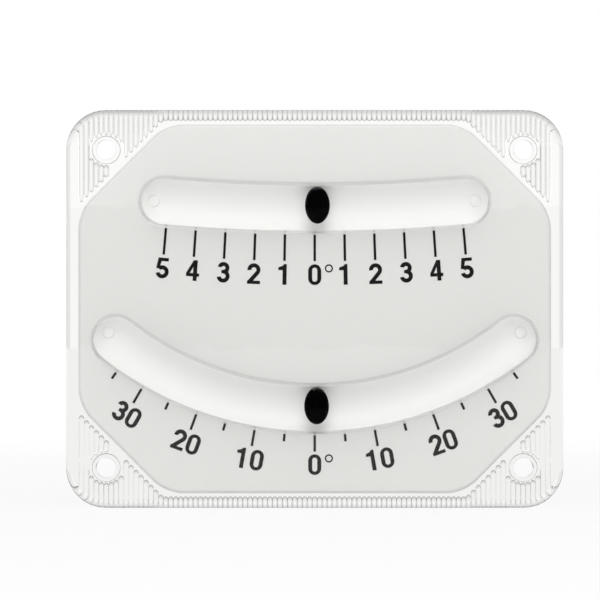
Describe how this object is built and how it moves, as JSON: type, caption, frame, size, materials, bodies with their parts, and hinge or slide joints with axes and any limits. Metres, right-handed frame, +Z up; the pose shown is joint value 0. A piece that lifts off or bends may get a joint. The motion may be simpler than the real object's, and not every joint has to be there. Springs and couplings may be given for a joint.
{
  "type": "inclinometer",
  "caption": "Screw-on two-range ball inclinometer: a clear lens over a white panel, with a black ball rolling in each of two curved liquid-filled tubes above printed degree scales.",
  "frame": {"origin": "centre of the flat back face, midway between the four screw holes", "axes": "+X to the right of the dial, +Z up the dial, -Y out of the face towards the reader; upright as mounted"},
  "size_m": [0.1, 0.0101, 0.08],
  "materials": {
    "clear_acrylic": "clear moulded acrylic, polished",
    "white_panel": "moulded white plastic, satin",
    "black_ball": "blackened steel bearing ball, polished",
    "clear_liquid": "clear damping liquid",
    "plug_plastic": "moulded white plastic",
    "black_ink": "black printing ink"
  },
  "bodies": {
    "casing": {"front_lens": "clear_acrylic", "back_plate": "white_panel", "upper_damping_liquid": "clear_liquid", "lower_damping_liquid": "clear_liquid", "upper_left_filler_plug": "plug_plastic", "upper_right_filler_plug": "plug_plastic", "lower_left_filler_plug": "plug_plastic", "lower_right_filler_plug": "plug_plastic", "upper_scale_ticks": "black_ink", "upper_scale_numerals": "black_ink", "upper_degree_ring": "black_ink", "lower_major_ticks": "black_ink", "lower_minor_ticks": "black_ink", "lower_scale_numerals": "black_ink", "lower_degree_ring": "black_ink"},
    "upper_ball": {"upper_ball": "black_ball"},
    "lower_ball": {"lower_ball": "black_ball"}
  },
  "joints": [
    {"name": "upper_ball_roll", "type": "hinge", "parent": "casing", "child": "upper_ball", "pos_m": [0, -0.005, 0.35805], "axis": [0, -1, 0], "range_deg": [-5.27, 5.09], "deforming": ["upper_damping_liquid"]},
    {"name": "lower_ball_roll", "type": "hinge", "parent": "casing", "child": "lower_ball", "pos_m": [0, -0.005, 0.04425], "axis": [0, -1, 0], "range_deg": [-38.93, 38.27], "deforming": ["lower_damping_liquid"]}
  ]
}
